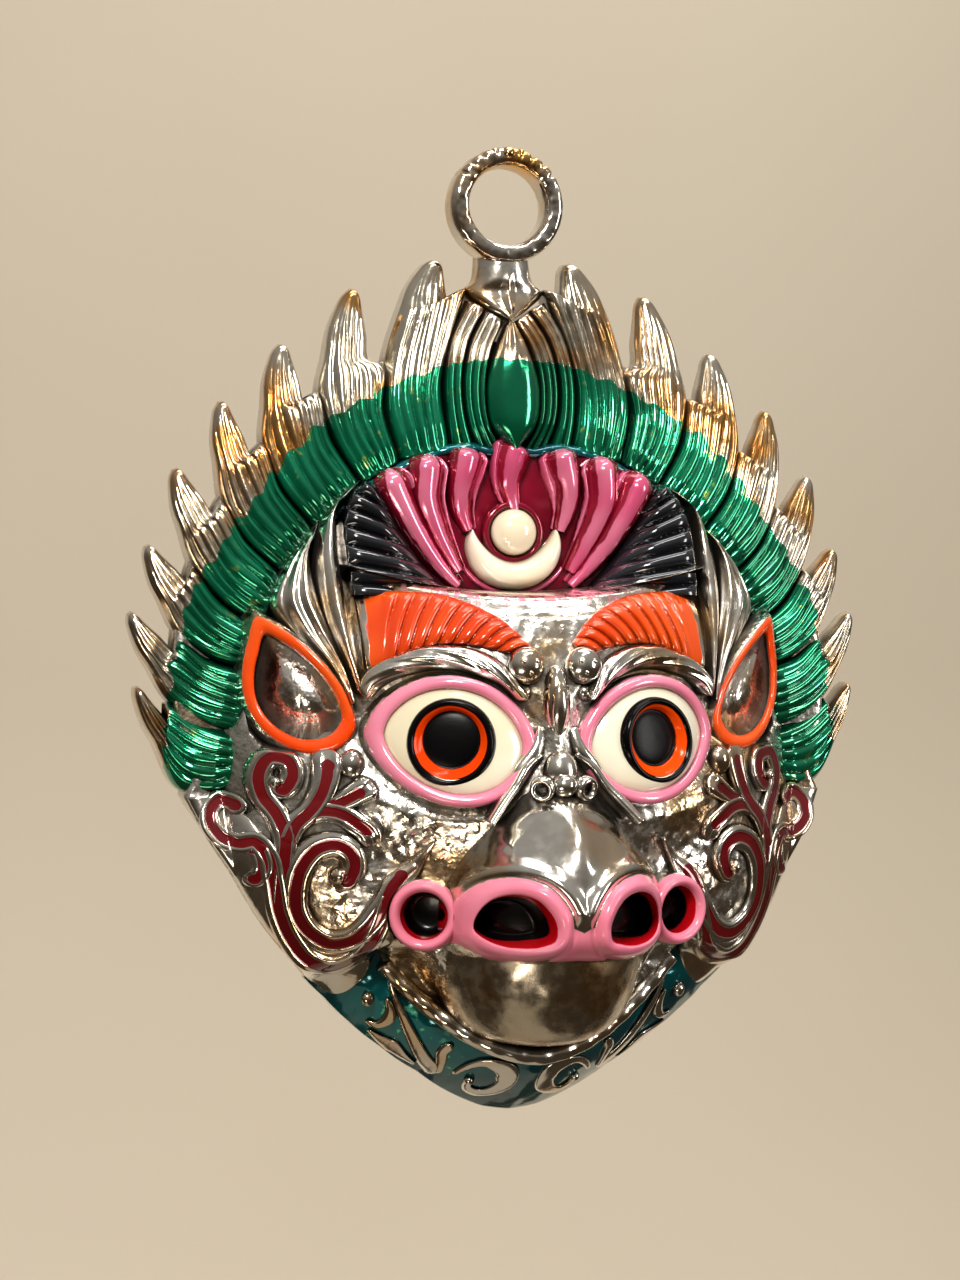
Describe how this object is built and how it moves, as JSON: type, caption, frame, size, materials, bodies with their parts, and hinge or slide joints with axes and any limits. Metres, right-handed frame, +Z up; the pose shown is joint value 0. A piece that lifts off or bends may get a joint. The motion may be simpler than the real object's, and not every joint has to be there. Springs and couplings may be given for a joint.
{
  "type": "hanging relief mask of a flame-crowned animal protector",
  "caption": "Cast metal wall mask of an animal protector with a flame crown, bulging eyes, a broad muzzle, a hollow back and a ring cast on top to hang it by.",
  "frame": {"origin": "on the wall plane, straight behind the inner top of the hanging ring's hole, where a peg or hook carries the mask", "axes": "+Z up; the face looks along -Y and the flat back rim lies in the plane Y = 0; +X to the right of someone facing the mask"},
  "size_m": [0.1522, 0.0632, 0.1909],
  "materials": {
    "silvered_metal": "bright silver-plated cast white metal with dark patina in the recesses and gloss enamel paint in green, teal, crimson, pink, orange, black, cream and maroon"
  },
  "bodies": {
    "root": {"mask": "silvered_metal"}
  },
  "joints": []
}
